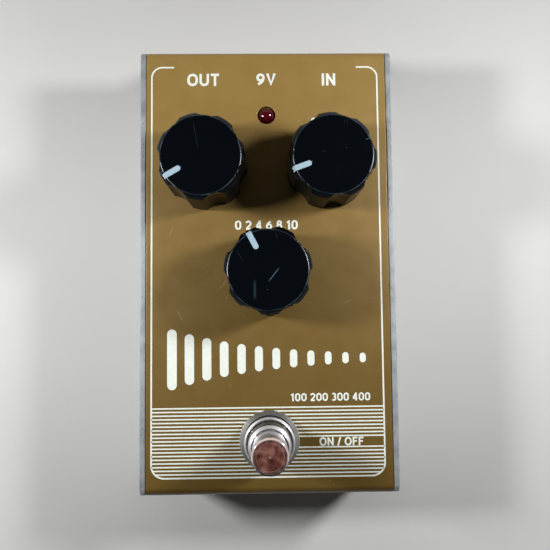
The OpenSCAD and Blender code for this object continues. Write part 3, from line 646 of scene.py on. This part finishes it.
def helix_tube(name, radius, wire, low, high, turns, steps=40, sides=12):
    """A coil of round wire as a closed tube with flat ends, in millimetres."""
    mesh = bpy.data.meshes.new(name)
    rings = []
    count = turns * steps
    for i in range(count + 1):
        angle = 2 * math.pi * i / steps
        rise = low + (high - low) * i / count
        out = Vector((math.cos(angle), math.sin(angle), 0))
        ring = [
            (out * (radius + wire / 2 * math.cos(t)) + UP * (rise + wire / 2 * math.sin(t))) * MM
            for t in (2 * math.pi * j / sides for j in range(sides))
        ]
        rings.append(ring)
    points = [p for ring in rings for p in ring]
    faces = [tuple(range(sides)), tuple(reversed(range(count * sides, (count + 1) * sides)))]
    for i in range(count):
        for j in range(sides):
            k = (j + 1) % sides
            faces.append((i * sides + j, (i + 1) * sides + j, (i + 1) * sides + k, i * sides + k))
    mesh.from_pydata(points, [], faces)
    for face in mesh.polygons:
        face.use_smooth = len(face.vertices) == 4
    return mesh


# The ink's thickness, how far it reaches into the paint, and the step between shapes that may cross
INK_T = 0.03
INK_SINK = 0.005
INK_STEP = 0.001

# The figures' cap height, stroke width, gap and space; and the length below which two points are one
CAP, WEIGHT, TRACK, SPACE = 6.0, 1.2, 0.75, 1.2
SAME_POINT = 1e-6


def arc(x, y, radius, start, end, steps=12):
    """Points along an arc between two angles in degrees."""
    return [
        (x + radius * math.cos(math.radians(a)), y + radius * math.sin(math.radians(a)))
        for a in (start + (end - start) * i / steps for i in range(steps + 1))
    ]


def oval(x, y, radius, reach):
    """A closed loop: two half circles whose centres lie reach above and below y."""
    return arc(x, y + reach, radius, 0, 180) + arc(x, y - reach, radius, 180, 360) + [(x + radius, y + reach)]


# The strokes of a 6, which make the 9 as well
SIX = [oval(2, 1.95, 1.42, 0), arc(3.58, 1.95, 3.0, 180, 125) + [(3.09, 5.27)]]

# Each figure's width and its strokes; a stroke that ends where it starts is a loop
GLYPHS = {
    "0": (4.0, [oval(2, 3, 1.45, 1)]),
    "1": (2.6, [[(1.75, 0), (1.75, 6)], [(0.35, 4.3), (1.75, 5.5)]]),
    "2": (4.0, [arc(2, 4, 1.45, 165, -40) + [(0.9, 0.8)], [(0.45, 0.525), (3.55, 0.525)]]),
    "3": (3.8, [arc(1.9, 4.3, 1.17, 150, -90), arc(1.9, 1.85, 1.3, 90, -150)]),
    "4": (4.1, [[(2.75, 5.6), (0.6, 1.9)], [(0.45, 1.75), (3.75, 1.75)], [(2.85, 0), (2.85, 6)]]),
    "5": (3.9, [[(3.45, 5.475), (0.95, 5.475), (0.8, 3.0)], arc(1.95, 1.95, 1.42, 140, -145)]),
    "6": (4.0, SIX),
    "8": (4.0, [oval(2, 4.35, 1.12, 0), oval(2, 1.87, 1.34, 0)]),
    "9": (4.0, [[(4 - x, CAP - y) for x, y in stroke] for stroke in SIX]),
    "F": (3.6, [[(0.6, 0), (0.6, 6)], [(0.6, 5.475), (3.5, 5.475)], [(0.6, 3.05), (3.1, 3.05)]]),
    "I": (1.4, [[(0.7, 0), (0.7, 6)]]),
    "N": (4.5, [[(0.6, 0), (0.6, 6)], [(0.6, 5.5), (3.9, 0.5)], [(3.9, 0), (3.9, 6)]]),
    "O": (5.0, [oval(2.5, 3, 1.95, 0.5)]),
    "T": (4.2, [[(0.1, 5.475), (4.1, 5.475)], [(2.1, 0), (2.1, 5.6)]]),
    "U": (4.6, [[(0.58, 6)] + arc(2.3, 2.25, 1.72, 180, 360) + [(4.02, 6)]]),
    "V": (4.5, [[(0.5, 6), (2.25, 0.85), (4, 6)]]),
    "/": (2.6, [[(0.4, 0), (2.2, 6)]]),
    " ": (SPACE, []),
}


class Print:
    """Ink on the panel: flat shapes in millimetres from its middle, raised by the ink's thickness."""

    def __init__(self):
        self.bm = bmesh.new()
        self.shapes = 0

    def levels(self):
        """A shape's foot and top; shapes that may cross differ a hair, so that no faces coincide."""
        self.shapes += 1
        lift = INK_STEP * (self.shapes % 3)
        return TOP_Z - INK_SINK - lift, TOP_Z + INK_T + lift

    def vertices(self, points, z):
        """New points of the mesh at one height."""
        return [self.bm.verts.new((x * MM, (y + MID_Y) * MM, z * MM)) for x, y in points]

    def slab(self, outline):
        """A filled outline."""
        low, high = (self.vertices(outline, z) for z in self.levels())
        self.bm.faces.new(high)
        self.bm.faces.new(low[::-1])
        for i in range(len(outline)):
            k = (i + 1) % len(outline)
            self.bm.faces.new((low[i], low[k], high[k], high[i]))

    def ribbon(self, path, width):
        """A line of even width along a path, mitred at its corners; it closes where its ends meet."""
        points = [Vector(p) for p in path]
        points = [p for i, p in enumerate(points) if not i or (p - points[i - 1]).length > SAME_POINT]
        closed = (points[0] - points[-1]).length < SAME_POINT
        if closed:
            points.pop()
        after = points[1:] + points[:1] if closed else points[1:]
        spans = [(b - a).normalized() for a, b in zip(points, after)]
        sharpest_mitre = 0.6
        left, right = [], []
        for i, here in enumerate(points):
            first = spans[i - 1] if closed or i else spans[0]
            last = spans[min(i, len(spans) - 1)]
            along = (first + last).normalized()
            side = Vector((-along.y, along.x)) * (width / 2 / max(along.dot(last), sharpest_mitre))
            left.append(here + side)
            right.append(here - side)
        low, high = self.levels()
        edges = [self.vertices(left, low), self.vertices(right, low),
                 self.vertices(right, high), self.vertices(left, high)]
        for i in range(len(spans)):
            k = (i + 1) % len(points)
            for e, f in zip(edges, edges[1:] + edges[:1]):
                self.bm.faces.new((e[i], e[k], f[k], f[i]))
        if not closed:
            self.bm.faces.new([e[0] for e in edges])
            self.bm.faces.new([e[-1] for e in edges][::-1])

    def bar(self, x0, x1, y, width):
        """A straight line across the panel."""
        self.ribbon([(x0, y), (x1, y)], width)

    def lozenge(self, x, y, width, height):
        """An upright bar with round ends, never quite a circle."""
        shortest_side = 0.02
        self.slab(oval(x, y, width / 2, max(height - width, shortest_side) / 2)[:-1])

    def write(self, text, x, y, height):
        """Plain figures or capitals centred on x, their feet at y."""
        scale = height / CAP
        length = sum(GLYPHS[c][0] + TRACK for c in text) - TRACK
        start = x - length * scale / 2
        for character in text:
            width, strokes = GLYPHS[character]
            for stroke in strokes:
                self.ribbon([(start + u * scale, y + v * scale) for u, v in stroke], WEIGHT * scale)
            start += (width + TRACK) * scale

    def piece(self, name):
        """Ends the sheet and adds it to the scene."""
        bmesh.ops.recalc_face_normals(self.bm, faces=self.bm.faces)
        mesh = bpy.data.meshes.new(name)
        self.bm.to_mesh(mesh)
        self.bm.free()
        return new_piece(name, mesh, INK, "housing")


def print_lines():
    """The open frame round the panel, and the pinstripes, which end under the switch's washer."""
    half_l = REAR_Y - MID_Y
    left_gap, right_gap, rear_gap, front_gap = 1.6, 2.35, 4.95, 5.08
    left, right = left_gap - HALF_W, HALF_W - right_gap
    top, bottom = half_l - rear_gap, front_gap - half_l
    rear_r, front_r = 3.0, 3.6
    rear_left_end, rear_right_end = -26.4, 26.0
    frame_w, stripe_w = 0.44, 0.39
    stripe_count, stripe_pitch = 19, 1
    first_stripe = bottom + stripe_count * stripe_pitch
    short_rows, short_end = (9, 10), 8.5
    under_washer = 0.1
    washer_r = corners("switch_washer")[1][0] - SWITCH.x - under_washer
    sheet = Print()
    frame_line = [(rear_left_end, top)]
    frame_line += arc(left + rear_r, top - rear_r, rear_r, 90, 180)
    frame_line += arc(left + front_r, bottom + front_r, front_r, 180, 270)
    frame_line += arc(right - front_r, bottom + front_r, front_r, 270, 360)
    frame_line += arc(right - rear_r, top - rear_r, rear_r, 0, 90)
    frame_line += [(rear_right_end, top)]
    sheet.ribbon(frame_line, frame_w)
    for i in range(stripe_count):
        y = first_stripe - i * stripe_pitch
        inset = front_r - math.sqrt(max(front_r**2 - max(bottom + front_r - y, 0) ** 2, 0))
        start, end = left + inset, short_end if i in short_rows else right - inset
        off = abs(y + MID_Y - SWITCH.y)
        if off > washer_r:
            sheet.bar(start, end, y, stripe_w)
            continue
        half = math.sqrt(washer_r**2 - off**2)
        sheet.bar(start, -half, y, stripe_w)
        if end - half > stripe_w:
            sheet.bar(half, end, y, stripe_w)
    return sheet.piece("panel_lines")


def print_motif():
    """A row of bars that shrink like a fading echo."""
    sheet = Print()
    count, start, pitch, y = 12, -27.0, 4.85, -25.4
    first_width, narrowing = 2.7, 0.09
    first_height, fade, least_height = 16.2, 0.83, 0.6
    for i in range(count):
        height = first_height * fade**i + least_height
        sheet.lozenge(start + i * pitch, y, first_width - narrowing * i, height)
    return sheet.piece("panel_motif")


def print_numbers():
    """Dial numbers over the knobs, a scale under the bars, and the names of sockets and switch."""
    sheet = Print()
    left_of_dial, over_dial, socket_names_y = 0.3, 12.55, 52.6
    for side, (x, y) in DIALS.items():
        scale, height = ("0 2 4 6 8 10", 2.6) if side == "middle" else ("0 5 10", 2.4)
        sheet.write(scale, x - left_of_dial, y - MID_Y + over_dial, height)
    sheet.write("100 200 300 400", x=17.1, y=-37.3, height=2.2)
    sheet.write("ON / OFF", x=20.0, y=-49.6, height=2.3)
    for name, node in (("OUT", "output_jack_nut"), ("9V", "dc_jack"), ("IN", "input_jack_nut")):
        sheet.write(name, middle(node)[0], socket_names_y, height=3.6)
    return sheet.piece("panel_numbers")


def dress_nodes():
    """Each CAD node takes the material of its slot in the record."""
    slots = {part["node"]: part["material_slot"] for part in frame["record"]["subparts"]}
    for name, obj in frame["nodes"].items():
        dress(obj, MATERIALS[slots[name]])
    dress(frame["nodes"]["switch_button"], PLUNGER)
    dress(frame["nodes"]["switch_washer"], WASHER)
    dress(frame["nodes"]["switch_nut"], NUT)


def soften_nodes():
    """Rounds the edges that show, each kind of piece by its own width."""
    for node in ("top_cover", "base_chassis"):
        soften(node, width=0.2)
    for side in DIALS:
        soften(f"{side}_knob", width=0.22, segments=3)
        soften(f"{side}_pointer", width=0.05)
    for node in ("input_jack_nut", "output_jack_nut"):
        soften(node, width=0.18)
    for node in ("switch_nut", "switch_washer"):
        soften(node, width=0.06)
    for node in ("input_jack", "output_jack", "dc_jack"):
        soften(node, width=0.15)
    for place in ("front_left", "front_right", "rear_left", "rear_right"):
        soften(f"foot_{place}", width=0.3, segments=3)


def make_collar():
    """The footswitch's collar with its thread, which starts just below the panel's face."""
    low, high = corners("switch_bushing")
    mesh = threaded_sleeve(
        "switch_collar", outer=high[0] - SWITCH.x, inner=4.75, low=low[2], high=high[2],
        thread_from=TOP_Z - 0.1, pitch=1.0, depth=0.38, cone=1.1, slope=36,
    )
    mesh.transform(Matrix.Translation(SWITCH * MM))
    return new_piece("switch_collar", mesh, COLLAR, "housing", ["switch_bushing"])


def make_spring():
    """The footswitch's return spring, which on the real switch shortens as the plunger goes down; here a fixed
    coil in place of the CAD spring.
    """
    floor_z = corners("switch_body")[1][2]
    room, end_gap, wire = 8, 0.02, 0.8
    low, high = floor_z + end_gap, floor_z + room - end_gap
    mesh = helix_tube(
        "return_spring", radius=3.8, wire=wire, low=low + wire / 2, high=high - wire / 2, turns=4,
    )
    mesh.transform(Matrix.Translation(SWITCH * MM))
    steel = MATERIALS["spring_steel"]
    coil = new_piece("return_spring", mesh, steel, "housing", ["switch_spring"])
    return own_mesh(coil)


def floor_paper():
    """Pale paper, which stays pale to the eye and in reflections beyond the lamps' reach."""
    finish = Finish("floor_paper", Emission_Color=(1.0, 1.0, 0.99, 1.0))
    cloud = finish.noise(40, 3)
    seen = finish.add("LightPath").outputs
    far = finish.fit(finish.radius(0, 0), 100 * MM, 300 * MM, 0.0, 0.42)
    mirrored = finish.math("MAXIMUM", seen["Is Glossy Ray"], seen["Is Transmission Ray"])
    finish.set(
        Base_Color=finish.ramp(cloud, (0.3, srgb(220, 220, 218)), (0.7, srgb(224, 224, 222))),
        Roughness=finish.vary(finish.noise(20, 2), 0.7, 0.8),
        Emission_Strength=finish.math(
            "MULTIPLY", far, finish.math("MAXIMUM", seen["Is Camera Ray"], mirrored)
        ),
    )
    finish.relief(finish.noise(0.6, 2), 0.01)
    return finish.material


def make_floor():
    """A wide sheet of paper under the feet."""
    mesh = bpy.data.meshes.new("floor")
    half = 4000 * MM
    square = [(-half, -half, 0), (half, -half, 0), (half, half, 0), (-half, half, 0)]
    mesh.from_pydata(square, [], [(0, 1, 2, 3)])
    floor = bpy.data.objects.new("floor", mesh)
    bpy.context.scene.collection.objects.link(floor)
    dress(floor, floor_paper())


def make_room():
    """Pale low walls, a dark ceiling for deep shadows, and a warm card behind for the plating."""
    wall_colour, ceiling_colour = (0.24, 0.24, 0.245, 1), (0.024, 0.026, 0.03, 1)
    card_colour = (0.44, 0.4, 0.24, 1)
    world = bpy.data.worlds.new("room")
    world.use_nodes = True
    bpy.context.scene.world = world
    tree = world.node_tree
    place = tree.nodes.new("ShaderNodeTexCoord")
    split = tree.nodes.new("ShaderNodeSeparateXYZ")
    ramp = tree.nodes.new("ShaderNodeValToRGB")
    tree.links.new(place.outputs["Generated"], split.inputs[0])
    tree.links.new(split.outputs["Z"], ramp.inputs["Fac"])

    def band(axis, *steps):
        """A level along an axis that goes through the steps, each a position and a level."""
        curve = tree.nodes.new("ShaderNodeValToRGB")
        tree.links.new(split.outputs[axis], curve.inputs["Fac"])
        points = curve.color_ramp.elements
        while len(points) < len(steps):
            points.new(0.5)
        for point, (position, level) in zip(points, steps):
            point.position = position
            point.color = (level, level, level, 1)
        return curve.outputs["Color"]

    card = tree.nodes.new("ShaderNodeMath")
    card.operation = "MULTIPLY"
    tree.links.new(band("Y", (0.55, 0), (0.72, 1)), card.inputs[0])
    tree.links.new(band("Z", (0.34, 0), (0.44, 1), (0.6, 1), (0.7, 0)), card.inputs[1])
    both = tree.nodes.new("ShaderNodeMix")
    both.data_type = "RGBA"
    tree.links.new(card.outputs[0], both.inputs["Factor"])
    first, second = (s for s in both.inputs if s.type == "RGBA")
    tree.links.new(ramp.outputs["Color"], first)
    second.default_value = card_colour
    mixed = next(s for s in both.outputs if s.type == "RGBA")
    tree.links.new(mixed, tree.nodes["Background"].inputs["Color"])
    wall, ceiling = ramp.color_ramp.elements
    wall.position, wall.color = 0.1, wall_colour
    ceiling.position, ceiling.color = 0.42, ceiling_colour


def make_lamps():
    """A small lamp on each side, near, where the photograph's shadows put them."""
    aim = Vector((0, -20, TOP_Z)) * MM
    for place, watts in (((-176, 18, TOP_Z + 141), 0.275), ((158, 49, TOP_Z + 136), 0.255)):
        lamp = bpy.data.lights.new("side_lamp", "AREA")
        lamp.shape = "DISK"
        lamp.size = 40 * MM
        lamp.spread = math.radians(150)
        lamp.energy = watts
        box = bpy.data.objects.new("side_lamp", lamp)
        bpy.context.scene.collection.objects.link(box)
        box.location = Vector(place) * MM
        box.rotation_mode = "QUATERNION"
        box.rotation_quaternion = (aim - box.location).to_track_quat("-Z", "Y")


def make_camera():
    """The photograph's view, nearly straight down, from a fit to the panel, knobs and footswitch."""
    sensor, focal_pixels, image_pixels = 36, 582.4, 550
    from_panel = Vector((-0.857, -12.073, 164.04))
    roll, pitch, yaw = math.radians(0.617), math.radians(-3.515), math.radians(0.994)
    turn = Matrix.Rotation(roll, 3, "Z") @ Matrix.Rotation(pitch, 3, "X") @ Matrix.Rotation(yaw, 3, "Y")
    data = bpy.data.cameras.new("camera")
    data.sensor_width = sensor
    data.lens = focal_pixels / image_pixels * sensor
    data.clip_start = 10 * MM
    camera = bpy.data.objects.new("camera", data)
    bpy.context.scene.collection.objects.link(camera)
    place = (Vector((0, MID_Y, TOP_Z)) + from_panel) * MM
    camera.matrix_world = Matrix.Translation(place) @ turn.transposed().to_4x4()
    bpy.context.scene.camera = camera


dress_nodes()
soften_nodes()
print_lines()
print_motif()
print_numbers()
make_collar()
make_spring()
make_floor()
make_room()
make_lamps()
make_camera()
bpy.context.scene.view_settings.view_transform = "Standard"

bpy.context.view_layer.update()
